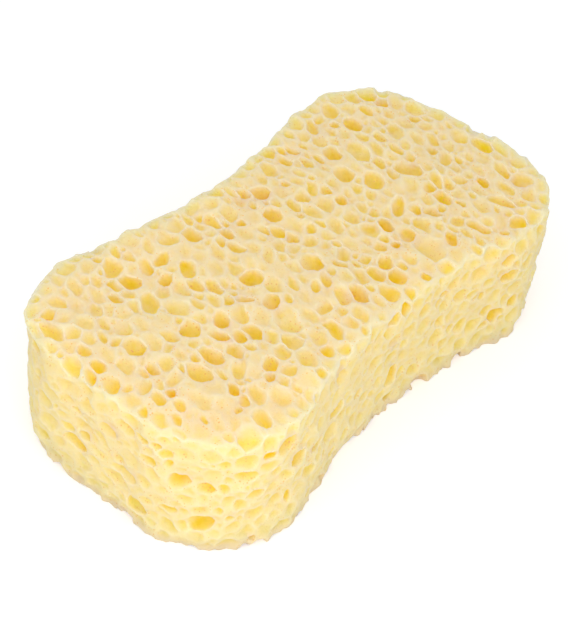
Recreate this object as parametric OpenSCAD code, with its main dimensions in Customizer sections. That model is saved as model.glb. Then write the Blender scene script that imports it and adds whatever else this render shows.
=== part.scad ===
// Waisted cleaning sponge, cut from a block of open-cell cellulose foam.
// One solid: a dog-bone outline and the larger cells that the cuts lay open.
// Millimetres. The length runs along X, and the sponge stands on Z = 0 with its centre over the origin.

/* [Body] */
// Length from end to end
body_length = 180; // [140:1:220]
// Width across the two broad ends
body_width = 96; // [80:1:120]
// Thickness of the block that it is cut from
body_thickness = 46; // [30:1:60]
// How far each long side is drawn in at the middle
waist_depth = 8; // [4:0.5:14]
// Radius of the four corners, seen from above
corner_radius = 31.5; // [24:0.5:38]

/* [Cells] */
// Mean radius of each class of open cell, largest first
cell_classes = [5, 4, 3.1, 2.3, 1.7]; // [1:0.1:6]
// How many places are tried for each class
cell_tries = [400, 1400, 4000, 8000, 12000]; // [0:100:12000]
// How far a cell's radius may stray from its class, as a share
cell_spread = 0.12; // [0:0.01:0.3]
// Thinnest wall left between two cells
cell_wall = 0.7; // [0.3:0.1:3]
// Deepest that a cell's centre lies under the skin, as a share of its radius
cell_sunk = 0.55; // [0:0.05:0.8]
// Highest that a cell's centre lies over the skin, as a share of its radius
cell_proud = 0.4; // [0:0.05:0.7]
// Seed of the random places
cell_seed = 5; // [1:1:99]
// Radius of the spot left flat at the middle of the underside, which the resting place is measured from
rest_flat = 2; // [0:0.5:6]

/* [Hidden] */
foam_colour = [0.96, 0.87, 0.62];
corner_steps = 16; // facets of a corner's arc
waist_steps = 10;  // facets of half a waist's arc
cell_faces = 32;
landmark_sunk = 0.45; // how far a landmark's centre lies under the skin, as a share of its radius

// The cells that the eye finds first, each as [along, across, up, radius]. The first two are shares of half
// the length and width, and the third is a share of the thickness, so that each keeps its place on the skin
// when the block changes size.
landmarks = [
    // the top
    [-0.91, 0.54, 1, 4.2], [-0.56, 0.72, 1, 4.6], [-0.66, 0.50, 1, 3], [-0.60, 0.31, 1, 4.8],
    [-0.67, 0.02, 1, 3.4], [-0.86, 0.02, 1, 3.4], [-0.80, -0.25, 1, 3.4], [-0.82, -0.50, 1, 4],
    [-0.55, -0.17, 1, 3.7], [-0.62, -0.45, 1, 3.4], [-0.54, -0.57, 1, 3.1], [-0.43, -0.71, 1, 4.8],
    [-0.39, 0.69, 1, 3.5], [-0.39, 0.35, 1, 3.8], [-0.38, 0.14, 1, 3.6], [-0.25, 0.33, 1, 3.4],
    [-0.33, -0.39, 1, 5.4], [-0.27, -0.65, 1, 4.1], [-0.36, -0.08, 1, 3], [-0.19, -0.20, 1, 2.9],
    [0.06, 0.19, 1, 3.8], [0.01, -0.02, 1, 3.6], [0.14, 0.31, 1, 3.2], [0.28, 0.11, 1, 3.2],
    [0.29, -0.26, 1, 4], [0.10, -0.63, 1, 3.8], [0.30, -0.60, 1, 5.6], [0.00, -0.29, 1, 2.8],
    [0.23, 0.68, 1, 3.5], [0.54, 0.36, 1, 5], [0.39, 0.28, 1, 4.3], [0.44, 0.08, 1, 4.5],
    [0.61, 0.01, 1, 4.8], [0.75, 0.31, 1, 4.1], [0.67, 0.80, 1, 4.1], [0.55, 0.78, 1, 3.5],
    [0.41, -0.20, 1, 3.4], [0.62, -0.18, 1, 3.3], [0.88, -0.03, 1, 4.4], [0.74, -0.45, 1, 2.8],
    [0.69, -0.65, 1, 4], [0.52, -0.71, 1, 3.5], [0.86, -0.45, 1, 3.4], [0.77, 0.60, 1, 3],
    // the end at -X and the long side at -Y
    [-1, -0.07, 0.70, 3.2], [-1, -0.20, 0.42, 3.8], [-1, 0.11, 0.49, 2.6], [-1, 0.26, 0.48, 2.7],
    [-0.97, -0.62, 0.62, 3.7], [-0.83, -0.90, 0.68, 3.8], [-0.80, -0.94, 0.51, 2.8],
    [-0.69, -1, 0.83, 4.2], [-0.24, -0.86, 0.52, 2.9], [0.52, -0.96, 0.83, 3], [0.48, -0.94, 0.37, 2.7],
    [0.21, -0.85, 0.73, 2.4], [0.44, -0.92, 0.57, 2]];

// The corner's centre, in the quarter of the outline where x and y are positive
corner_centre = [body_length / 2 - corner_radius, body_width / 2 - corner_radius];
// The waist's arc touches both corner arcs of its side, and its deepest point lies waist_depth in
waist_rise = body_width / 2 - waist_depth - corner_centre.y;
waist_radius = (pow(corner_centre.x, 2) + pow(waist_rise, 2) - pow(corner_radius, 2))
    / (2 * (corner_radius - waist_rise));
waist_centre = [0, body_width / 2 - waist_depth + waist_radius];
// Direction from the corner's centre to the point where its arc becomes the waist's
touch_angle = atan2(waist_centre.y - corner_centre.y, -corner_centre.x);

// Points along an arc from one angle to another, without its first point.
function arc(centre, radius, from, to, steps) =
    [for (i = [1:steps]) let (a = from + (to - from) * i / steps) centre + radius * [cos(a), sin(a)]];

// A quarter of the outline, from the middle of the waist round the corner to the flat end.
function quarter() = concat(
    [waist_centre - [0, waist_radius]],
    arc(waist_centre, waist_radius, -90, touch_angle - 180, waist_steps),
    arc(corner_centre, corner_radius, touch_angle, 0, corner_steps));

// The whole outline, clockwise from the middle of the waist on +Y.
function outline() = let (q = quarter(), last = len(q) - 1) concat(
    q,
    [for (i = [last:-1:0]) [q[i].x, -q[i].y]],
    [for (i = [1:last]) -q[i]],
    [for (i = [last:-1:1]) [-q[i].x, q[i].y]]);

// The block before any cell is laid open.
module blank() {
    linear_extrude(body_thickness) polygon(outline());
}

// [outward angle, gap] of the side skin at a point of the quarter where x and y are positive. The gap is
// negative inside.
function quarter_skin(q) = let (
    from_corner = q - corner_centre,
    to_waist = waist_centre - q,
    beside_waist = cross(corner_centre - waist_centre, q - waist_centre) < 0)
    from_corner.y < 0 ? [0, q.x - body_length / 2]
    : beside_waist ? [atan2(to_waist.y, to_waist.x), waist_radius - norm(to_waist)]
    : [atan2(from_corner.y, from_corner.x), norm(from_corner) - corner_radius];

// The same at any point, by mirroring the quarter's angle.
function side_skin(p) = let (
    skin = quarter_skin([abs(p.x), abs(p.y)]),
    out = [cos(skin[0]) * (p.x < 0 ? -1 : 1), sin(skin[0]) * (p.y < 0 ? -1 : 1)])
    [atan2(out.y, out.x), skin[1]];

// A cell is [x, y, z, radius, tilt, turn], where tilt and turn point its pole out of the skin that it opens.
// This is one whose centre is at p, or undef where it would open no skin, or two at once, or the flat spot.
function cell_at(p, radius) = let (
    side = side_skin(p),
    face_gap = max(p.z - body_thickness, -p.z),
    on_side = side[1] > face_gap,
    gap = max(side[1], face_gap),
    other_gap = min(side[1], face_gap))
    gap < -cell_sunk * radius || gap > cell_proud * radius || other_gap > -radius - cell_wall
        || norm(p) < radius + rest_flat ? undef
    : [p.x, p.y, p.z, radius, on_side ? 90 : 0, on_side ? side[0] : 0];

// Whether a cell leaves the wall between itself and each cell in a list.
function stands_clear(cell, others) = len([
    for (o = others)
        if (norm([cell.x - o.x, cell.y - o.y, cell.z - o.z]) < cell[3] + o[3] + cell_wall) 1]) == 0;

// Adds to a list each of the tried cells that stands clear of those before it.
function pack_cells(tried, kept, i = 0) =
    i == len(tried) ? kept
    : pack_cells(tried, stands_clear(tried[i], kept) ? concat(kept, [tried[i]]) : kept, i + 1);

// Where the centre of a landmark goes: straight in from the skin nearest to it.
function landmark_centre(p, radius) = let (
    side = side_skin(p),
    inset = landmark_sunk * radius)
    side[1] > p.z - body_thickness ? p - (side[1] + inset) * [cos(side[0]), sin(side[0]), 0]
    : [p.x, p.y, body_thickness - inset];

// The landmarks that open one skin of this block and stand clear of each other.
function landmark_cells() = pack_cells([
    for (mark = landmarks) let (
        p = [mark.x * body_length / 2, mark.y * body_width / 2, mark.z * body_thickness],
        cell = cell_at(landmark_centre(p, mark[3]), mark[3]))
        if (!is_undef(cell)) cell], []);

// Random cells of one class that the block's skin cuts open.
function tried_cells(class) = let (
    n = cell_tries[class],
    seed = cell_seed + 10 * class,
    x = rands(-body_length / 2, body_length / 2, n, seed),
    y = rands(-body_width / 2, body_width / 2, n, seed + 1),
    z = rands(0, body_thickness, n, seed + 2),
    size = rands(1 - cell_spread, 1 + cell_spread, n, seed + 3))
    [for (i = [0:n - 1]) let (cell = cell_at([x[i], y[i], z[i]], cell_classes[class] * size[i]))
        if (!is_undef(cell)) cell];

// Every open cell: the landmarks, then the largest class first, so that smaller ones fill the room between.
function open_cells(class = 0, kept = landmark_cells()) =
    class == len(cell_classes) ? kept : open_cells(class + 1, pack_cells(tried_cells(class), kept));

module sponge() {
    color(foam_colour)
    difference() {
        blank();
        for (cell = open_cells())
            translate([cell.x, cell.y, cell.z]) rotate([0, cell[4], cell[5]])
                sphere(r = cell[3], $fn = cell_faces);
    }
}

sponge();
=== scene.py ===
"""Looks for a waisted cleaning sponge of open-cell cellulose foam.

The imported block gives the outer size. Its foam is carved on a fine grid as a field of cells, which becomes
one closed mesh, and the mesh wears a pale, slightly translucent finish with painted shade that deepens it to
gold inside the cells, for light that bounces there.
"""

import logging
import math
from dataclasses import dataclass, field
from enum import Enum

import bpy
import numpy as np
import openvdb
from mathutils import Matrix, Vector


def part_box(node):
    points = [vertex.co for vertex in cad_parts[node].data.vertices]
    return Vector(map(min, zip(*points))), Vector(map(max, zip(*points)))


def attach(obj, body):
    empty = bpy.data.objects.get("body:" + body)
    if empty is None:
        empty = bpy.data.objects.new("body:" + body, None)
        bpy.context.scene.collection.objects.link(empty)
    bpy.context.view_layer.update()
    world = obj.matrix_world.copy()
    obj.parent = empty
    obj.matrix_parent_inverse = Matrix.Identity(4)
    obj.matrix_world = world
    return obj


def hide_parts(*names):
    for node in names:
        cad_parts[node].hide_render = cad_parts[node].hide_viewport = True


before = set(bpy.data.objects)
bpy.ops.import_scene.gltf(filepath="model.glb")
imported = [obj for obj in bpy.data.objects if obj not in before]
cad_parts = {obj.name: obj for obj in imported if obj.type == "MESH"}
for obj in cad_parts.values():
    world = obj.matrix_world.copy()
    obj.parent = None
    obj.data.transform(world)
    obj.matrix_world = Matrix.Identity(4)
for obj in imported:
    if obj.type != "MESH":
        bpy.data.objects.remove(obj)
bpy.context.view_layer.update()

MM = 0.001  # Blender's unit is the metre, and the foam is worked out in millimetres
NODE = "sponge"
BODY = "root"
WHITE = (1, 1, 1, 1)
TINY = 1e-6  # keeps the very middle of a cell from a division by nought
SLOPE_STEP = 0.1  # how far each way a field is read to find its slope, in millimetres
SPLINE_START = 1.5  # where a line's first point stands among its spline's knots
SPARE_KNOTS = 5  # knots that a spline has past those that its line's length needs
MIX_PALE, MIX_DARK, MIX_RESULT = 6, 7, 2  # a mix node's colour sockets, which share their names with others

logging.basicConfig(level=logging.INFO, format="%(message)s")
log = logging.getLogger("sponge")


def unit(vectors: np.ndarray) -> np.ndarray:
    """Returns a vector, or each row of an array, at length one."""
    return vectors / np.linalg.norm(vectors, axis=-1, keepdims=True)


def smooth_max(a: np.ndarray, b: np.ndarray, blend: float) -> np.ndarray:
    """Joins two distance fields where both hold, with their crease rounded.

    Args:
        a: One field.
        b: The other field.
        blend: How wide the rounding is, in the fields' own unit.

    Returns:
        The joined field.
    """
    h = np.clip(blend - np.abs(a - b), 0, None) / blend
    return np.maximum(a, b) + h * h * blend / 4


@dataclass(frozen=True)
class Block:
    """The waisted block that the sponge is cut from, in millimetres, with its base centred on the origin."""

    length: float
    width: float
    height: float
    waist_depth: float = 8.0  # this and the corner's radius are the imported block's
    corner_radius: float = 31.5
    edge_radius: float = 1.8

    @classmethod
    def from_frame(cls, node: str) -> "Block":
        """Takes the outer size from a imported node.

        Args:
            node: The node's name.

        Returns:
            The block of that size.
        """
        low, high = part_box(node)
        size = (Vector(high) - Vector(low)) / MM
        return cls(length=size.x, width=size.y, height=size.z)

    @property
    def corner(self) -> tuple[float, float]:
        """The corner arc's centre, in the quarter where x and y are positive."""
        return self.length / 2 - self.corner_radius, self.width / 2 - self.corner_radius

    @property
    def waist_radius(self) -> float:
        """Radius of the arc that draws in each long side and touches both of its corner arcs.

        Returns:
            The radius, in millimetres.
        """
        x, y = self.corner
        rise = self.width / 2 - self.waist_depth - y
        return (x * x + rise * rise - self.corner_radius ** 2) / (2 * (self.corner_radius - rise))

    def side_gap(self, x: np.ndarray, y: np.ndarray) -> np.ndarray:
        """Distance outside the outline, seen from above. It is negative inside.

        Args:
            x: Places along the length.
            y: Places across the width, of a shape that broadcasts with x.

        Returns:
            The distances.
        """
        ax, ay = np.abs(x), np.abs(y)
        cx, cy = self.corner
        wy = self.width / 2 - self.waist_depth + self.waist_radius
        to_waist = self.waist_radius - np.hypot(ax, ay - wy)
        to_corner = np.hypot(ax - cx, ay - cy) - self.corner_radius
        beside_waist = cx * (ay - wy) - (cy - wy) * ax < 0
        past_centre = ay > cy
        end = np.maximum(ax - self.length / 2, to_waist)
        return np.where(past_centre, np.where(beside_waist, to_waist, to_corner), end)

    def gap(self, x: np.ndarray, y: np.ndarray, z: np.ndarray) -> np.ndarray:
        """Distance outside the block, with its edges eased. It is negative inside.

        Args:
            x: Places along the length.
            y: Places across the width.
            z: Heights.

        Returns:
            The distances.
        """
        side = self.side_gap(x, y) + self.edge_radius
        face = np.abs(z - self.height / 2) - self.height / 2 + self.edge_radius
        outer = np.hypot(np.clip(side, 0, None), np.clip(face, 0, None))
        return outer + np.minimum(np.maximum(side, face), 0) - self.edge_radius

    def outward(self, points: np.ndarray) -> np.ndarray:
        """The direction straight out of the nearest skin.

        Args:
            points: A place near the skin, or one in each row.

        Returns:
            The direction of each, of length one.
        """
        steps = SLOPE_STEP * np.eye(3)
        slopes = [self.gap(*(points + step).T) - self.gap(*(points - step).T) for step in steps]
        return unit(np.stack(slopes, axis=-1))

    def skin_spots(self, rng: np.random.Generator, count: int, shell: float = 1.0) -> np.ndarray:
        """Random places on the skin.

        Args:
            rng: Where the random numbers come from.
            count: How many places in the whole block are tried.
            shell: How far under the skin a place may lie before it is moved out to it.

        Returns:
            The places, one in each row.
        """
        high = np.array([self.length / 2, self.width / 2, self.height])
        spots = rng.uniform(high * (-1, -1, 0), high, (count, 3))
        gaps = self.gap(*spots.T)
        near = (gaps > -shell) & (gaps < 0)
        return spots[near] - gaps[near, None] * self.outward(spots[near])


@dataclass(frozen=True)
class Cell:
    """One hollow of the foam: an ellipsoid with a centre and three radii, which may lean."""

    centre: np.ndarray
    radii: np.ndarray
    axes: np.ndarray  # the direction that each radius is measured along, one in each row


@dataclass
class Grid:
    """A block of sample points that holds the whole sponge, with a coordinate array for each axis."""

    block: Block
    pitch: float
    margin: float = 2.0  # room round the block for its uneven skin
    origin: np.ndarray = field(init=False)
    counts: tuple[int, int, int] = field(init=False)

    def __post_init__(self) -> None:
        """Works out the grid's corner and how many points it has each way."""
        b = self.block
        self.origin = np.array([-b.length / 2, -b.width / 2, 0]) - self.margin
        reach = np.array([b.length, b.width, b.height]) + 2 * self.margin
        self.counts = tuple(int(n) for n in np.ceil(reach / self.pitch) + 1)

    def axis(self, number: int) -> np.ndarray:
        """The places of the sample points along one axis.

        Args:
            number: The axis, from nought for the length to two for the height.

        Returns:
            The places, shaped to broadcast over the grid.
        """
        shape = [1, 1, 1]
        shape[number] = -1
        return (self.origin[number] + self.pitch * np.arange(self.counts[number])).reshape(shape)

    def noise(self, rng: np.random.Generator, wavelength: float) -> np.ndarray:
        """A smooth random field of mean nought and a spread of about one.

        Args:
            rng: Where the random numbers come from.
            wavelength: The spacing of the random knots, in millimetres.

        Returns:
            The field at every grid point.
        """
        knots = [int(n * self.pitch / wavelength) + SPARE_KNOTS for n in self.counts]
        out = rng.standard_normal(knots).astype(np.float32)
        for n, k in zip(self.counts, knots, strict=True):
            out = np.tensordot(out, spline_weights(n, k, self.pitch / wavelength), axes=(0, 1))
        return out / out.std()

    def sample(self, values: np.ndarray, points: np.ndarray) -> np.ndarray:
        """Reads a field between the grid's points.

        Args:
            values: The field.
            points: Places to read it at, one in each row.

        Returns:
            The field's value at each place.
        """
        spot = (points - self.origin) / self.pitch
        base = np.clip(spot.astype(int), 0, np.array(self.counts) - 2)
        part = spot - base
        total = np.zeros(len(points))
        for corner in np.ndindex(2, 2, 2):
            share = np.where(corner, part, 1 - part).prod(1)
            total += share * values[tuple((base + corner).T)]
        return total

    def blurred(self, values: np.ndarray, reach: float) -> np.ndarray:
        """Spreads a field evenly, twice along each axis.

        Args:
            values: The field.
            reach: How far each spread goes, in millimetres.

        Returns:
            The blurred field.
        """
        steps = round(reach / self.pitch)
        out = values.astype(np.float32)
        for number in 2 * (0, 1, 2):
            pad = [(0, 0)] * 3
            pad[number] = (steps + 1, steps)
            total = np.moveaxis(np.cumsum(np.pad(out, pad, mode="edge"), axis=number), number, 0)
            span = 2 * steps + 1
            out = np.moveaxis((total[span:] - total[:-span]) / span, 0, number)
        return out

    def window(self, low: np.ndarray, high: np.ndarray) -> tuple[slice, slice, slice]:
        """The part of the grid between two corners.

        Args:
            low: The lower corner.
            high: The upper corner.

        Returns:
            A slice for each axis.
        """
        a = np.clip(np.floor((low - self.origin) / self.pitch), 0, self.counts).astype(int)
        b = np.clip(np.ceil((high - self.origin) / self.pitch) + 1, 0, self.counts).astype(int)
        return tuple(slice(i, j) for i, j in zip(a, b, strict=True))


def spline_weights(points: int, knots: int, step: float) -> np.ndarray:
    """How much each knot counts at each point of a line, for a cubic B-spline.

    Args:
        points: How many points the line has.
        knots: How many knots it has.
        step: The points' spacing, in knot spacings.

    Returns:
        An array of a row for each point and a column for each knot.
    """
    t = np.abs(SPLINE_START + step * np.arange(points)[:, None] - np.arange(knots)[None, :])
    near = (4 - 6 * t ** 2 + 3 * t ** 3) / 6
    far = np.clip(2 - t, 0, None) ** 3 / 6
    return np.where(t < 1, near, far).astype(np.float32)


# Cells that the top cut lays open, set out one by one: place along and across, half length, half width, the
# long way's lean from the length in degrees, and how deep the hollow goes.
TOP_CELLS = [
    (-82, 26, 5.5, 2.5, 90, 3), (-73, 34, 3.5, 2.5, 80, 2), (-82, 13.5, 3, 2, 90, 3),
    (-74, 14, 3, 1.5, 80, 2), (-69.5, 19.5, 4, 1.5, 75, 1.5), (-50, 34.5, 5, 3.5, 50, 3),
    (-59.5, 24, 3, 2, 95, 3), (-43, 33.5, 3, 2, 80, 1.5), (-42, 27, 3.5, 2.5, 60, 2.5),
    (-53.5, 15, 6, 3, 50, 3.5), (-60, 1, 3.5, 2.5, 100, 2.5), (-77.5, 1, 4, 2.5, 45, 2),
    (-85.5, -1, 4, 2.5, 45, 2.5), (-72.5, -4, 3, 2, 95, 3), (-80, -7.5, 4, 2.5, 30, 2),
    (-81, -15, 3.5, 2, 80, 3), (-72, -12, 4, 2.5, 20, 1.5), (-79, -21, 3, 1.5, 70, 2),
    (-83.5, -23.5, 3, 1.5, 60, 2), (-73.5, -24, 5.5, 2.5, 100, 1.5), (-64.5, -26, 3, 2, 65, 3),
    (-61.5, -19.5, 2.5, 1.5, 70, 2), (-49, -8, 4, 2.5, 105, 3.5), (-44.5, 4.5, 3, 2, 65, 2),
    (-56, -21.5, 4.5, 2.5, 30, 2), (-47.5, -18.5, 2, 2, 60, 3), (-48.5, -27.5, 3.5, 2.5, 40, 4),
    (-68, -32.5, 2, 1.5, 30, 2), (-77, -37.5, 2, 1.5, 80, 1.5), (-66.5, -39.5, 4, 2.5, 60, 3),
    (-63.5, -7.5, 4, 2, 90, 1), (-36.5, 25.5, 4, 2, 30, 2.5), (-35, 33, 4.5, 2, 65, 1.5),
    (-35, 17, 5, 2.5, 60, 4), (-34.5, 7, 5, 2, 65, 2.5), (-29.5, 3.5, 2, 1.5, 60, 1.5),
    (-22.5, 16, 4, 2.5, 70, 1.5), (-17, 33.5, 3.5, 2, 75, 2), (-12.5, 27, 4, 2, 90, 2.5),
    (-18, 23.5, 2.5, 2, 30, 1), (-16, 14, 3.5, 2, 105, 2.5), (-7.5, 11.5, 2.5, 2, 60, 1.5),
    (5, 9, 4, 3.5, 90, 1.5), (2, -0.5, 4, 3, 45, 2), (11, 3, 3, 1.5, 90, 2.5), (25, 5.5, 3, 2.5, 30, 3.5),
    (13, 15, 4, 2, 75, 3), (22.5, 16.5, 3.5, 2, 60, 2.5), (18.5, 23.5, 2, 1.5, 100, 2.5),
    (3, 24, 2.5, 1.5, 80, 2), (3, 33.5, 3.5, 1.5, 85, 1.5), (20.5, 32.5, 4.5, 2.5, 70, 2.5),
    (-32.5, -4, 4, 2, 120, 3), (-23, -12.5, 2.5, 1.5, 55, 2.5), (-17, -9.5, 4, 1.5, 70, 2.5),
    (-30, -18.5, 6, 4, 60, 2.5), (-18.5, -15.5, 3, 2, 70, 1), (-13, -15, 2.5, 2, 60, 3),
    (-8, -15, 3.5, 2, 50, 2.5), (-10.5, -6, 3.5, 2.5, 110, 1.5), (0.5, -14, 3, 2, 110, 3),
    (5, -17.5, 2, 1.5, 80, 2), (4.5, -5, 2.5, 1.5, 25, 1.5), (16.5, -17, 3, 2, 90, 2.5),
    (12, -15, 3, 2, 60, 1), (20.5, -20.5, 2.5, 2, 40, 3), (26.5, -12.5, 4.5, 3, 60, 4.5),
    (9, -30.5, 4, 3, 50, 4.5), (-24, -31, 5.5, 2.5, 65, 4), (-17.5, -22, 4, 2, 5, 2),
    (-1, -27.5, 2.5, 1.5, 75, 2), (18, -28.5, 3.5, 2, 80, 1.5), (27, -29, 8.5, 4, 75, 2.5),
    (-39, -34, 5, 4, 60, 2.5), (27.5, 33, 4, 2, 80, 2.5), (34.5, 34, 3, 2, 110, 3),
    (39.5, 33, 2.5, 1.5, 70, 1.5), (49.5, 37.5, 5, 2, 60, 3), (60.5, 39.5, 5, 3.5, 60, 3),
    (40.5, 39.5, 3, 2, 110, 2), (55, 32, 2, 2, 0, 3), (69.5, 29, 4, 2, 85, 3),
    (31.5, 26.5, 3.5, 2, 75, 2.5), (37, 25.5, 3.5, 1.5, 85, 2), (25.5, 24.5, 3.5, 1.5, 90, 1.5),
    (47.5, 26.5, 3, 2, 70, 1.5), (48.5, 17.5, 7, 3, 60, 3), (35.5, 13.5, 4.5, 3.5, 60, 4),
    (60.5, 17, 3, 2, 85, 2), (67.5, 15, 4.5, 3, 40, 2.5), (65.5, 22.5, 3, 2, 85, 1.5),
    (60, 10, 4, 2, 95, 2.5), (40, 4, 5, 3.5, 50, 4), (33, 5.5, 2.5, 2, 45, 2), (47.5, 2, 3.5, 2, 60, 3),
    (54.5, 0.5, 5.5, 4, 25, 4), (28, -1.5, 3, 2, 75, 2), (37, -9.5, 5, 2, 35, 3),
    (40, -14, 3.5, 2, 65, 3), (46.5, -13, 3, 2.5, 90, 1.5), (56, -9, 4.5, 2, 60, 2.5),
    (62.5, -15.5, 3.5, 2, 105, 2.5), (71, -9, 2.5, 1.5, 85, 2), (75, -10.5, 2, 1.5, 60, 1.5),
    (81, -1.5, 5, 3.5, 55, 2.5), (73.5, 4.5, 3.5, 2, 65, 2), (66.5, -21.5, 3, 2, 70, 3),
    (52, -23.5, 3, 1.5, 75, 2.5), (62.5, -31.5, 5, 2.5, 105, 4), (46.5, -34, 5, 2.5, 100, 3),
    (40.5, -34, 3.5, 1.5, 70, 1.5), (35, -31.5, 4.5, 2, 45, 3), (77, -22, 4.5, 2.5, 70, 3),
    (84, -24, 3.5, 2.5, 65, 1.5), (42, -24.5, 3, 1.5, 40, 1), (48.5, -28, 2, 1.5, 60, 1.5),
    (36, -41, 3, 2, 60, 2),
]

# The same for the sides: place along, across and up, half length round the side, half height, and depth.
SIDE_CELLS = [
    (-90, 8.5, 30.5, 2, 1.5, 2), (-90, -3.5, 32, 3.5, 2.5, 3.5), (-90, -9.5, 19.5, 4.5, 2.5, 3.5),
    (-90, 5.5, 22.5, 2.5, 2, 2.5), (-90, 12.5, 22, 3, 2, 2), (-87, -29.5, 28.5, 3.5, 3, 4),
    (-81.5, -38.5, 18.5, 1.5, 3, 2), (-78.5, -41, 15, 1.5, 1.5, 2), (-88.5, -26.5, 15, 2.5, 2, 2.5),
    (-90, -19, 32, 3.5, 2, 2), (-90, -10.5, 38.5, 3.5, 2.5, 2), (-89.5, -21, 39, 2.5, 1.5, 2),
    (-75, -43.5, 31.5, 4.5, 2.5, 2.5), (-83.5, -35.5, 26.5, 2.5, 2, 2.5), (-80, -39.5, 27, 2, 2, 2),
    (-71.5, -45, 23.5, 3, 2, 2.5), (-88.5, -26, 34, 1.5, 2.5, 2), (-62.5, -48, 38, 4.5, 3.5, 4.5),
    (-21, -41, 24, 2.5, 3, 3.5), (-60, -48, 14, 2, 3, 2), (47.5, -46, 38, 3, 2, 3),
    (39.5, -44, 26, 1.5, 2, 2.5), (43, -45, 17, 3, 2, 2), (19, -41, 33.5, 2, 2, 2.5),
]


@dataclass(frozen=True)
class CellClass:
    """A size of random cell, which fills the room that the larger ones leave."""

    radius: float
    tries: int


class Skin(Enum):
    """A kind of skin, with how its random cells are cut open.

    Each holds four values, which __init__ names in their order.
    """

    TOP = (2.2, (0.25, 0.85), 0.2, 1.3)
    BASE = (2.5, (0.25, 0.85), 0.2, 1.3)
    SIDE = (2.7, (0.3, 0.6), 0.08, 1.2)
    EDGE = (1.0, (0.2, 0.5), 0.0, 1.0)

    def __init__(self, largest: float, depth: tuple[float, float], deep_share: float, deep: float) -> None:
        """Names the four values.

        Args:
            largest: The largest radius of a cell's mouth.
            depth: The least and the most depth of a common cell, as a share of the mouth's short half size.
            deep_share: The share of cells that are deep ones.
            deep: The depth of a deep one, as a share of the same.
        """
        self.largest = largest
        self.depth = depth
        self.deep_share = deep_share
        self.deep = deep


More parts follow.
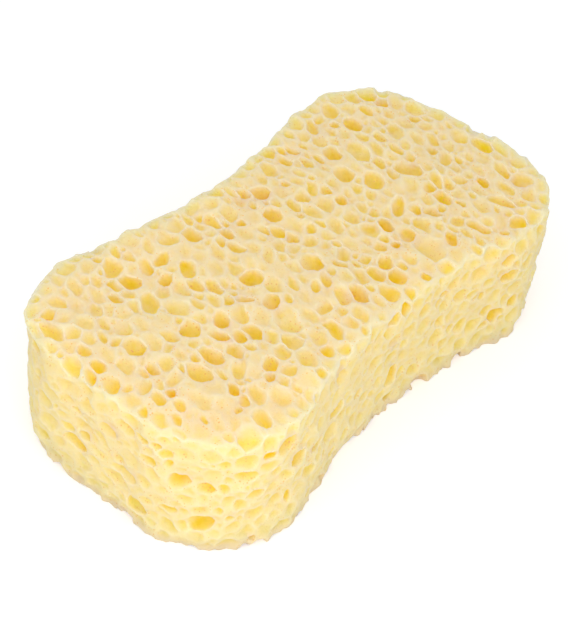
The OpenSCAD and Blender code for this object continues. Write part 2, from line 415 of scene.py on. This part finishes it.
@dataclass
class Foam:
    """The cells of the foam: those set out one by one, and random ones whose mouths fill the skin between.
    """

    block: Block
    seed: int = 20
    spots: int = 2_500_000  # places tried in the block, of which those next to the skin are used
    shape: tuple[float, float, float] = (1.5, 1.05, 0.85)  # a cell along the grain, across it and up
    grain_lean: float = 65.0  # direction of the grain from the length, in degrees
    grain_sway: float = 0.3
    room_taken: float = 1.2  # most that a random cell takes of free room, as a share of its class
    stretch: tuple[float, float] = (0.9, 1.1)  # how much either half size of a random cell strays
    swell: float = 1.22  # how much a random cell grows once it has its place, so that walls come out thin
    deepest: float = 1.5  # most depth of a cell, as a share of its short half size
    lean: tuple[float, float, float] = (0.1, -0.3, 0.1)  # how far a hollow's foot leans for each step down
    lean_sway: float = 0.25
    level: float = 0.95  # a skin whose outward direction rises by this much is level
    most_sunk: float = 0.05  # deepest that a cell's centre lies under the skin, as a share of its radius
    classes: tuple[CellClass, ...] = (
        CellClass(2.6, 500),
        CellClass(2.1, 2000),
        CellClass(1.75, 5000),
        CellClass(1.45, 20_000),
        CellClass(1.2, 60_000),
        CellClass(1.0, 200_000),
        CellClass(0.82, 200_000),
        CellClass(0.65, 200_000),
    )
    cells: list[Cell] = field(default_factory=list)
    mouths: list[tuple[np.ndarray, float]] = field(default_factory=list)
    rng: np.random.Generator = field(init=False)

    def __post_init__(self) -> None:
        """Starts the random numbers."""
        self.rng = np.random.default_rng(self.seed)

    @property
    def grain(self) -> np.ndarray:
        """The grain's own axes.

        Returns:
            The directions along the grain, across it and up, one in each row.
        """
        lean = math.radians(self.grain_lean)
        along = np.array([math.cos(lean), math.sin(lean), 0.0])
        up = np.array([0.0, 0.0, 1.0])
        return np.array([along, np.cross(up, along), up])

    def squeezed(self, points: np.ndarray) -> np.ndarray:
        """Returns points in a space where a typical cell is a ball."""
        return points @ self.grain.T / self.shape

    def cut_cell(self, mouth: np.ndarray, across: np.ndarray, half: tuple[float, float],
                 depth: float) -> None:
        """Adds a cell whose mouth has a given size where the skin cuts it.

        A hollow that is shallower than its mouth is wide is the bottom of a ball, and a deeper one has its
        centre under the skin.

        Args:
            mouth: The mouth's middle, on the skin.
            across: The direction of the mouth's first half size.
            half: The mouth's two half sizes.
            depth: How deep the hollow goes.
        """
        out = self.block.outward(mouth)
        first = unit(across - out * (across @ out))
        second = np.cross(out, first)
        steepness = min(depth / half[1], self.deepest)
        sunk = min((steepness ** 2 - 1) / (steepness ** 2 + 1), self.most_sunk)
        radius = steepness * half[1] / (1 + sunk)
        widen = 1 / math.sqrt(1 - sunk ** 2)
        radii = np.array([half[0] * widen, half[1] * widen, radius])
        lean = self.lean + self.lean_sway * self.rng.standard_normal(3)
        lean -= out * (lean @ out)
        axes = np.array([first, second, out])
        axes += np.outer(axes @ lean, out)
        self.cells.append(Cell(mouth - (out - lean) * sunk * radius, radii, axes))
        squeezes = [np.linalg.norm(self.squeezed(way)) for way in (first, second)]
        room = math.sqrt(half[0] * squeezes[0] * (half[1] * squeezes[1]))
        self.mouths.append((self.squeezed(mouth), room))

    def set_out(self) -> None:
        """Adds the cells that are listed one by one."""
        for x, y, long, short, lean, depth in TOP_CELLS:
            angle = math.radians(lean)
            across = np.array([math.cos(angle), math.sin(angle), 0.0])
            self.cut_cell(np.array([x, y, self.block.height]), across, (long, short), depth)
        for x, y, z, wide, tall, depth in SIDE_CELLS:
            mouth = np.array([x, y, z], float)
            across = np.cross(self.block.outward(mouth), [0.0, 0.0, 1.0])
            self.cut_cell(mouth, across, (wide, tall), depth)

    def skin_of(self, spots: np.ndarray) -> np.ndarray:
        """Tells the skins apart by which way they face.

        Args:
            spots: Places on the skin, one in each row.

        Returns:
            The kind of skin at each.
        """
        rise = self.block.outward(spots)[:, 2]
        kinds = [rise > self.level, rise < -self.level, np.abs(rise) < 1 - self.level]
        return np.select(kinds, [Skin.TOP, Skin.BASE, Skin.SIDE], Skin.EDGE)

    def random_cell(self, mouth: np.ndarray, radius: float, skin: Skin) -> None:
        """Adds a cell with a random shape, long along the grain.

        Args:
            mouth: The mouth's middle, on the skin.
            radius: The mouth's radius where space is squeezed.
            skin: The kind of skin that cuts it.
        """
        out = self.block.outward(mouth)
        along = self.grain[0] + self.grain_sway * self.rng.standard_normal(3)
        first = unit(along - out * (along @ out))
        ways = first, np.cross(out, first)
        grown = self.swell * radius * self.rng.uniform(*self.stretch, 2)
        half = [size / np.linalg.norm(self.squeezed(way)) for size, way in zip(grown, ways, strict=True)]
        steepness = skin.deep if self.rng.random() < skin.deep_share else self.rng.uniform(*skin.depth)
        self.cut_cell(mouth, first, half, steepness * half[1])

    def fill(self) -> None:
        """Fills the skin between the mouths with random ones, the largest class first."""
        spots = self.block.skin_spots(self.rng, self.spots)
        spots = spots[np.argsort(self.squeezed(spots)[:, 0])]
        flat = self.squeezed(spots)
        skins = self.skin_of(spots)
        largest = np.array([skin.largest for skin in skins])
        free = np.full(len(spots), np.inf)
        reach = 2 * max(size.radius for size in self.classes)  # no cell can meet a mouth further off

        def claim(centre: np.ndarray, radius: float) -> None:
            """Takes a mouth's room from the places round it.

            Args:
                centre: The mouth's middle, where space is squeezed.
                radius: Its radius there.
            """
            ends = centre[0] + np.array([-1, 1]) * (radius + reach)
            part = slice(*np.searchsorted(flat[:, 0], ends))
            free[part] = np.minimum(free[part], np.linalg.norm(flat[part] - centre, axis=1) - radius)

        for centre, radius in self.mouths:
            claim(centre, radius)
        for size in self.classes:
            tried = self.rng.permutation(np.flatnonzero((free > size.radius) & (largest >= size.radius)))
            for i in tried[:size.tries]:
                if free[i] > size.radius:
                    radius = min(free[i], size.radius * self.room_taken)
                    self.random_cell(spots[i], radius, skins[i])
                    claim(flat[i], radius)


@dataclass
class Carving:
    """Cuts a foam's cells from a block, on a grid."""

    grid: Grid
    foam: Foam
    wall: float = 0.68  # wall between two cells that would run together
    wall_sway: float = 0.25
    wall_wavelength: float = 3.0
    thinnest_wall: float = 0.4
    wall_blend: float = 0.8
    rim_blend: float = 0.95  # how far the rims of open cells are rounded
    warps: tuple[tuple[float, float], ...] = ((7.0, 0.4), (2.8, 0.24), (1.5, 0.13))  # wavelength and reach
    most_warp: float = 3.0  # how many times its reach a warp may go
    tear: float = 1.0  # how far the foot of the sides is torn back
    tear_wavelength: float = 4.5
    tear_height: float = 8.0
    tear_full: float = 3.0  # height below which the foot is torn back in full, so that it stands straight
    sole: float = 1.8  # how far the eased edge of the base is taken off flat
    widest_lean: float = 0.6  # most that a cell reaches sideways by its lean, as a share of its depth
    beyond: float = 1.2  # how far outside a cell its wall is worked out
    far: float = 4.0  # a distance that stands for nothing near
    bent: list[np.ndarray] = field(init=False)

    def __post_init__(self) -> None:
        """Sways the grid's coordinates, so that nothing cut on them is a true ellipsoid or plane."""
        self.bent = []
        for number in range(3):
            axis = np.broadcast_to(self.grid.axis(number), self.grid.counts).astype(np.float32)
            for wavelength, reach in self.warps:
                axis += reach * self.grid.noise(self.foam.rng, wavelength)
            self.bent.append(axis)

    def gap_to(self, cell: Cell, part: tuple[slice, slice, slice]) -> np.ndarray:
        """About how far outside a cell the points of a part of the grid are. It is negative inside.

        Args:
            cell: The cell.
            part: The part of the grid.

        Returns:
            The distances.
        """
        p = [self.bent[i][part] - np.float32(cell.centre[i]) for i in range(3)]
        rows = (cell.axes / cell.radii[:, None]).astype(np.float32)
        local = [a[0] * p[0] + a[1] * p[1] + a[2] * p[2] for a in rows]
        slopes = [u / np.float32(radius) for u, radius in zip(local, cell.radii, strict=True)]
        reached = np.sqrt(sum(u * u for u in local)) + TINY
        slope = np.sqrt(sum(v ** 2 for v in slopes)) + TINY
        return reached * (reached - 1) / slope

    def hollows(self) -> np.ndarray:
        """Distance outside the nearest hollow, with a thin wall left between hollows that overlap.

        Returns:
            The distance at every grid point.
        """
        nearest = np.full(self.grid.counts, self.far, np.float32)
        second = nearest.copy()
        reach = self.most_warp * max(r for _, r in self.warps) + self.beyond
        for cell in self.foam.cells:
            upright = np.sqrt(((cell.radii[:, None] * cell.axes) ** 2).sum(0))
            size = upright + self.widest_lean * cell.radii[2] + reach
            part = self.grid.window(cell.centre - size, cell.centre + size)
            gap = self.gap_to(cell, part)
            near, next_one = nearest[part], second[part]
            second[part] = np.minimum(next_one, np.maximum(near, gap))
            nearest[part] = np.minimum(near, gap)
        wall = self.wall + self.wall_sway * self.grid.noise(self.foam.rng, self.wall_wavelength)
        wall = np.maximum(wall, self.thinnest_wall)
        return smooth_max(nearest, (wall - (second - nearest)) / 2, self.wall_blend)

    def skin(self) -> np.ndarray:
        """Distance outside the uncut block, with its torn foot. It is negative inside.

        Returns:
            The distance at every grid point.
        """
        x, y, z = self.bent
        torn = self.tear * np.clip(self.grid.noise(self.foam.rng, self.tear_wavelength), 0, None)
        low = np.clip((self.tear_height - z) / (self.tear_height - self.tear_full), 0, 1)
        beside = np.clip(1 + self.foam.block.side_gap(x, y) / self.tear_height, 0, 1)
        return self.foam.block.gap(x, y, z + self.sole * low) + torn * low * beside


def largest_shell(points: int, faces: np.ndarray) -> np.ndarray:
    """Finds the faces of the largest connected shell.

    Args:
        points: How many points the mesh has.
        faces: The corner numbers of each face.

    Returns:
        True for each face of that shell.
    """
    label = np.arange(points)
    while True:
        lowest = label[faces].min(1)
        fresh = label.copy()
        for corner in range(faces.shape[1]):
            np.minimum.at(fresh, faces[:, corner], lowest)
        fresh = fresh[fresh]
        if (fresh == label).all():
            break
        label = fresh
    shell = label[faces[:, 0]]
    return shell == np.bincount(shell).argmax()


@dataclass(frozen=True)
class Pinholes:
    """A scatter of small round holes that the mesh is too coarse for, in clusters, painted as spots of
    shade.
    """

    spacing: float = 0.8
    radius: float = 0.36  # of a large one, as a share of the spacing
    edge: float = 0.12  # how soft a hole's edge is, as a share of the spacing
    share: float = 0.45  # how many of the spots have a hole, on average
    cluster: float = 7.0
    # painted shade inside a hole
    colour: tuple[float, float, float] = (0.91, 0.57, 0.23)


@dataclass(frozen=True)
class FoamFinishAndShade:
    """Dry cellulose foam: pale cream on the cut skin, with painted shade that turns it golden in the cells,
    pinholes and a grain.
    """

    name: str = "dry cellulose foam"
    skin_colour: tuple[float, float, float] = (0.89, 0.71, 0.425)
    # painted shade: the colours of shallow dishes, cell walls and deep cells stand for light that bounces in
    # the cells
    shaded_dish_colour: tuple[float, float, float] = (0.96, 0.73, 0.35)
    shaded_wall_colour: tuple[float, float, float] = (1.0, 0.75, 0.2)
    shaded_deep_colour: tuple[float, float, float] = (1.0, 0.765, 0.05)
    dish_shade: float = 0.2  # where the painted shade reaches the dish's colour, from nought on a ridge to one deep down
    wall_shade: float = 0.5
    deep_shade: float = 0.85
    roughness: float = 0.85
    sheen: float = 0.2
    glow: float = 0.95
    glow_radius: tuple[float, float, float] = (1.0, 0.9, 0.5)
    glow_scale: float = 10.0
    foot_glow: float = 0.35  # what is left of it at the foot, where the base lets in no light
    foot_height: float = 6.0
    pinholes: Pinholes = Pinholes()
    grain_size: float = 0.6
    grain_depth: float = 0.25

    def material(self) -> bpy.types.Material:
        """Builds the material.

        Returns:
            The material.
        """
        made = bpy.data.materials.new(self.name)
        made.use_nodes = True
        tree = made.node_tree
        shader = tree.nodes["Principled BSDF"]
        mix = tree.nodes.new("ShaderNodeMix")
        mix.data_type = "RGBA"
        # the base colour is painted shade, with the pinholes painted in as spots of shade
        tree.links.new(self.specks(tree, self.pinholes), mix.inputs["Factor"])
        tree.links.new(self.painted_shade_colour(tree), mix.inputs[MIX_PALE])
        # the pinholes' painted shade
        mix.inputs[MIX_DARK].default_value = (*self.pinholes.colour, 1)
        tree.links.new(mix.outputs[MIX_RESULT], shader.inputs["Base Color"])
        shader.inputs["Roughness"].default_value = self.roughness
        shader.inputs["Specular IOR Level"].default_value = self.sheen
        tree.links.new(self.foot_fade(tree), shader.inputs["Subsurface Weight"])
        shader.inputs["Subsurface Radius"].default_value = self.glow_radius
        shader.inputs["Subsurface Scale"].default_value = self.glow_scale * MM
        bump = tree.nodes.new("ShaderNodeBump")
        bump.inputs["Distance"].default_value = self.grain_depth * MM
        tree.links.new(self.noise(tree, self.grain_size), bump.inputs["Height"])
        tree.links.new(bump.outputs["Normal"], shader.inputs["Normal"])
        return made

    def place(self, tree: bpy.types.NodeTree) -> bpy.types.NodeSocket:
        """Adds a socket that gives the place on the object."""
        return tree.nodes.new("ShaderNodeTexCoord").outputs["Object"]

    def maths(self, tree: bpy.types.NodeTree, operation: str, *values: float | bpy.types.NodeSocket,
              clamp: bool = False) -> bpy.types.NodeSocket:
        """Adds a sum of two or three values.

        Args:
            tree: The material's node tree.
            operation: The sum's name.
            values: Numbers or sockets to work on.
            clamp: Whether the result is kept between nought and one.

        Returns:
            The socket of the result.
        """
        node = tree.nodes.new("ShaderNodeMath")
        node.operation, node.use_clamp = operation, clamp
        for slot, value in zip(node.inputs, values, strict=False):
            if isinstance(value, bpy.types.NodeSocket):
                tree.links.new(value, slot)
            else:
                slot.default_value = value
        return node.outputs[0]

    def noise(self, tree: bpy.types.NodeTree, size: float) -> bpy.types.NodeSocket:
        """Adds noise.

        Args:
            tree: The material's node tree.
            size: Its wavelength, in millimetres.

        Returns:
            The socket that gives it.
        """
        noise = tree.nodes.new("ShaderNodeTexNoise")
        noise.inputs["Scale"].default_value = 1 / (size * MM)
        tree.links.new(self.place(tree), noise.inputs["Vector"])
        return noise.outputs["Fac"]

    def foot_fade(self, tree: bpy.types.NodeTree) -> bpy.types.NodeSocket:
        """Adds the glow's weight, which grows from the foot up.

        Args:
            tree: The material's node tree.

        Returns:
            The socket that gives it.
        """
        parts = tree.nodes.new("ShaderNodeSeparateXYZ")
        tree.links.new(self.place(tree), parts.inputs[0])
        fade = tree.nodes.new("ShaderNodeMapRange")
        fade.interpolation_type = "SMOOTHSTEP"
        fade.inputs["From Max"].default_value = self.foot_height * MM
        fade.inputs["To Min"].default_value = self.foot_glow
        fade.inputs["To Max"].default_value = self.glow
        tree.links.new(parts.outputs["Z"], fade.inputs["Value"])
        return fade.outputs["Result"]

    def specks(self, tree: bpy.types.NodeTree, holes: Pinholes) -> bpy.types.NodeSocket:
        """Adds the scatter of pinholes, painted as spots of shade.

        Args:
            tree: The material's node tree.
            holes: The scatter's sizes.

        Returns:
            A socket that is one in a hole and nought outside.
        """
        spots = tree.nodes.new("ShaderNodeTexVoronoi")
        spots.inputs["Scale"].default_value = 1 / (holes.spacing * MM)
        tree.links.new(self.place(tree), spots.inputs["Vector"])
        parts = tree.nodes.new("ShaderNodeSeparateColor")
        tree.links.new(spots.outputs["Color"], parts.inputs["Color"])
        most = 2 * holes.share  # noise is a half on average
        crowd = self.maths(tree, "MULTIPLY", self.noise(tree, holes.cluster), most)
        bare = self.maths(tree, "SUBTRACT", 1.0, crowd)
        size = self.maths(tree, "SUBTRACT", parts.outputs["Red"], bare, clamp=True)
        radius = self.maths(tree, "MULTIPLY", size, holes.radius / holes.share)
        inside = self.maths(tree, "SUBTRACT", radius, spots.outputs["Distance"])
        return self.maths(tree, "DIVIDE", inside, holes.edge, clamp=True)

    def painted_shade_colour(self, tree: bpy.types.NodeTree) -> bpy.types.NodeSocket:
        """Adds the painted shade: a colour that deepens to gold where the foam is closed in.

        Args:
            tree: The material's node tree.

        Returns:
            The socket that gives it.
        """
        # reads the painted shade that is written on the mesh
        depth = tree.nodes.new("ShaderNodeAttribute")
        depth.attribute_name = "shade"
        ramp = tree.nodes.new("ShaderNodeValToRGB")
        stops = ramp.color_ramp.elements
        stops[0].color = (*self.skin_colour, 1)
        stops[1].position, stops[1].color = self.deep_shade, (*self.shaded_deep_colour, 1)
        stops.new(self.dish_shade).color = (*self.shaded_dish_colour, 1)
        stops.new(self.wall_shade).color = (*self.shaded_wall_colour, 1)
        tree.links.new(depth.outputs["Fac"], ramp.inputs["Fac"])
        return ramp.outputs["Color"]


@dataclass
class SpongeBody:
    """The sponge as one closed mesh."""

    block: Block
    pitch: float = 0.45
    triangles: int = 196_000
    air_reach: float = 1.3  # how far round a point its share of open air is taken
    air_range: tuple[float, float] = (0.6, 0.25)  # the share on a ridge and deep in a cell
    full_depth: float = 4.0  # depth under the skin at which a closed-in place has its deepest painted shade
    shallow_share: float = 0.25  # how much of that painted shade it has at the skin
    side_shade: float = 0.13  # painted shade that an upright side has at least, for light that soaks further into the sides
    # the finish, which carries the painted shade
    finish: FoamFinishAndShade = FoamFinishAndShade()

    def build(self) -> bpy.types.Object:
        """Returns:
            The finished piece.
        """
        foam = Foam(self.block)
        foam.set_out()
        foam.fill()
        grid = Grid(self.block, self.pitch)
        carving = Carving(grid, foam)
        skin = carving.skin()
        solid = smooth_max(skin, -carving.hollows(), carving.rim_blend)
        solid = np.maximum(solid, -grid.axis(2))  # it rests on the floor
        piece = self.mesh_of(grid, solid)
        self.thin_out(piece)
        self.paint_shade(piece, grid, skin, solid)
        piece.data.materials.append(self.finish.material())
        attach(piece, BODY)
        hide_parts(NODE)
        return piece

    def mesh_of(self, grid: Grid, solid: np.ndarray) -> bpy.types.Object:
        """Turns the field into a mesh, without the bubbles and crumbs that nothing joins to its skin.

        Args:
            grid: The grid that the field is on.
            solid: Distance outside the foam.

        Returns:
            The object.
        """
        volume = openvdb.FloatGrid()
        volume.copyFromArray(np.ascontiguousarray(solid, dtype=np.float32))
        points, _, quads = volume.convertToPolygons(isovalue=0.0, adaptivity=0.0)
        quads = quads[largest_shell(len(points), quads)]
        used, corners = np.unique(quads, return_inverse=True)
        places = (grid.origin + grid.pitch * points[used]) * MM
        mesh = bpy.data.meshes.new("foam")
        mesh.vertices.add(len(places))
        mesh.vertices.foreach_set("co", places.astype(np.float32).ravel())
        mesh.loops.add(corners.size)
        mesh.loops.foreach_set("vertex_index", corners.ravel().astype(np.int32))
        mesh.polygons.add(len(quads))
        mesh.polygons.foreach_set("loop_start", np.arange(0, corners.size, quads.shape[1], dtype=np.int32))
        mesh.update(calc_edges=True)
        mesh.validate()
        piece = bpy.data.objects.new("sponge_foam", mesh)
        bpy.context.collection.objects.link(piece)
        return piece

    def thin_out(self, piece: bpy.types.Object) -> None:
        """Brings the mesh down to its share of triangles, keeping them where the surface bends most.

        Args:
            piece: The sponge, a mesh of quads.
        """
        bpy.ops.object.select_all(action="DESELECT")
        piece.select_set(True)
        bpy.context.view_layer.objects.active = piece
        full = 2 * len(piece.data.polygons)  # a quad is two triangles
        thinner = piece.modifiers.new("thin out", "DECIMATE")
        thinner.ratio = min(1.0, self.triangles / full)
        thinner.use_collapse_triangulate = True
        bpy.ops.object.modifier_apply(modifier=thinner.name)
        bpy.ops.object.shade_smooth()
        piece.modifiers.new("level faces", "WEIGHTED_NORMAL")

    def paint_shade(self, piece: bpy.types.Object, grid: Grid, skin: np.ndarray, solid: np.ndarray) -> None:
        """Writes the painted shade for the finish: how closed in each point is, from nought on a ridge to
        one deep in a cell.

        Args:
            piece: The sponge.
            grid: The grid that the fields are on.
            skin: Distance outside the uncut block.
            solid: Distance outside the foam.
        """
        mesh = piece.data
        places = np.empty(3 * len(mesh.vertices), np.float32)
        mesh.vertices.foreach_get("co", places)
        places = places.reshape(-1, 3) / MM
        air = grid.sample(grid.blurred(solid > 0, self.air_reach), places)
        depth = np.clip(-grid.sample(skin, places) / self.full_depth, 0, 1)
        ridge, deep = self.air_range
        closed = np.clip((ridge - air) / (ridge - deep), 0, 1)
        # painted shade: gold where a place is closed in and deep under the skin, for light that bounces in
        # the cells
        shade = closed * (self.shallow_share + (1 - self.shallow_share) * depth)
        # painted shade on upright sides, for light that soaks through them
        shade += self.side_shade * (1 - np.abs(self.block.outward(places)[:, 2])) * (1 - shade)
        mesh.attributes.new("shade", "FLOAT", "POINT").data.foreach_set("value", shade.astype(np.float32))


def bearing(azimuth: float, elevation: float) -> Vector:
    """Which way something stands from the point that it faces.

    Args:
        azimuth: The angle round from -Y, in degrees.
        elevation: The angle up from the floor, in degrees.

    Returns:
        The direction, of length one.
    """
    a, e = math.radians(azimuth), math.radians(elevation)
    return Vector((math.sin(a) * math.cos(e), -math.cos(a) * math.cos(e), math.sin(e)))


@dataclass(frozen=True)
class Camera:
    """Where the sponge is seen from: a direction and a distance from a point on the floor."""

    azimuth: float = -53.73
    elevation: float = 42.58
    roll: float = 5.91
    distance: float = 0.5536
    target: tuple[float, float, float] = (0.0109, 0.0124, 0.0)
    lens: float = 93.7

    def place(self) -> None:
        """Adds the camera and makes it the scene's."""
        a, r = math.radians(self.azimuth), math.radians(self.roll)
        back = bearing(self.azimuth, self.elevation)
        right = Vector((math.cos(a), math.sin(a), 0))
        up = back.cross(right)
        turned = right * math.cos(r) + up * math.sin(r)
        upright = up * math.cos(r) - right * math.sin(r)
        data = bpy.data.cameras.new("camera")
        data.lens = self.lens
        camera = bpy.data.objects.new("camera", data)
        bpy.context.collection.objects.link(camera)
        camera.matrix_world = Matrix.Translation(Vector(self.target) + back * self.distance) @ Matrix(
            (turned, upright, back)).transposed().to_4x4()
        bpy.context.scene.camera = camera


@dataclass(frozen=True)
class Softbox:
    """A square area lamp that faces the sponge."""

    name: str
    azimuth: float
    elevation: float
    distance: float
    size: float
    power: float

    def place(self) -> None:
        """Adds the lamp."""
        back = bearing(self.azimuth, self.elevation)
        data = bpy.data.lights.new(self.name, "AREA")
        data.size, data.energy = self.size, self.power
        lamp = bpy.data.objects.new(self.name, data)
        bpy.context.collection.objects.link(lamp)
        lamp.location = back * self.distance
        lamp.rotation_euler = back.to_track_quat("Z", "Y").to_euler()


@dataclass
class Studio:
    """The plain pale room: a floor, the light all round and the softboxes."""

    floor_size: float = 8.0
    floor_colour: tuple[float, float, float] = (0.76, 0.76, 0.76)
    floor_lift: float = 0.39  # what is added where the floor is seen, which lights nothing
    room_strength: float = 0.79
    lamps: tuple[Softbox, ...] = (
        Softbox("top", azimuth=-58.0, elevation=48.0, distance=0.4, size=0.3, power=0.35),
        Softbox("front", azimuth=-48.0, elevation=7.0, distance=0.7, size=0.5, power=1.45),
    )
    bounces: int = 16  # light crosses a pale cell many times before it leaves

    def build(self) -> None:
        """Adds the floor, the world and the lamps."""
        self.floor()
        self.room()
        for lamp in self.lamps:
            lamp.place()
        scene = bpy.context.scene
        scene.view_settings.view_transform = "Standard"
        scene.cycles.diffuse_bounces = scene.cycles.max_bounces = self.bounces

    def seen_rays(self, nodes: bpy.types.Nodes, links: bpy.types.NodeLinks) -> bpy.types.NodeSocket:
        """Adds the nodes that tell a ray that sees the room, straight, mirrored or through glass.

        Args:
            nodes: The node tree's nodes.
            links: The node tree's links.

        Returns:
            A socket that is one for such a ray.
        """
        path = nodes.new("ShaderNodeLightPath")
        total = path.outputs["Is Camera Ray"]
        for name in ("Is Glossy Ray", "Is Transmission Ray"):
            either = nodes.new("ShaderNodeMath")
            either.operation = "MAXIMUM"
            links.new(total, either.inputs[0])
            links.new(path.outputs[name], either.inputs[1])
            total = either.outputs[0]
        return total

    def floor(self) -> None:
        """Adds the floor, a matt sheet that is lifted towards white where it is seen."""
        bpy.ops.object.select_all(action="DESELECT")
        bpy.ops.mesh.primitive_plane_add(size=self.floor_size)
        floor = bpy.context.object
        floor.name = "floor"
        made = bpy.data.materials.new("pale floor")
        made.use_nodes = True
        nodes, links = made.node_tree.nodes, made.node_tree.links
        nodes.clear()
        matt = nodes.new("ShaderNodeBsdfDiffuse")
        matt.inputs["Color"].default_value = (*self.floor_colour, 1)
        lift = nodes.new("ShaderNodeEmission")
        scale = nodes.new("ShaderNodeMath")
        scale.operation = "MULTIPLY"
        scale.inputs[1].default_value = self.floor_lift
        links.new(self.seen_rays(nodes, links), scale.inputs[0])
        links.new(scale.outputs[0], lift.inputs["Strength"])
        both = nodes.new("ShaderNodeAddShader")
        links.new(matt.outputs[0], both.inputs[0])
        links.new(lift.outputs[0], both.inputs[1])
        out = nodes.new("ShaderNodeOutputMaterial")
        links.new(both.outputs[0], out.inputs["Surface"])
        floor.data.materials.append(made)

    def room(self) -> None:
        """Makes the light all round plain, and the room white where it is seen."""
        world = bpy.data.worlds.new("pale room")
        bpy.context.scene.world = world
        world.use_nodes = True
        nodes, links = world.node_tree.nodes, world.node_tree.links
        nodes.clear()
        plain, seen = nodes.new("ShaderNodeBackground"), nodes.new("ShaderNodeBackground")
        plain.inputs["Strength"].default_value = self.room_strength
        for sky in (plain, seen):
            sky.inputs["Color"].default_value = WHITE
        mix = nodes.new("ShaderNodeMixShader")
        links.new(self.seen_rays(nodes, links), mix.inputs["Fac"])
        links.new(plain.outputs[0], mix.inputs[1])
        links.new(seen.outputs[0], mix.inputs[2])
        out = nodes.new("ShaderNodeOutputWorld")
        links.new(mix.outputs[0], out.inputs["Surface"])


def main() -> None:
    """Builds the room and the sponge, and reports the sponge."""
    Camera().place()
    Studio().build()
    block = Block.from_frame(NODE)
    piece = SpongeBody(block).build()
    log.info("%s: %d triangles", piece.name, len(piece.data.polygons))


if __name__ == "__main__":
    main()
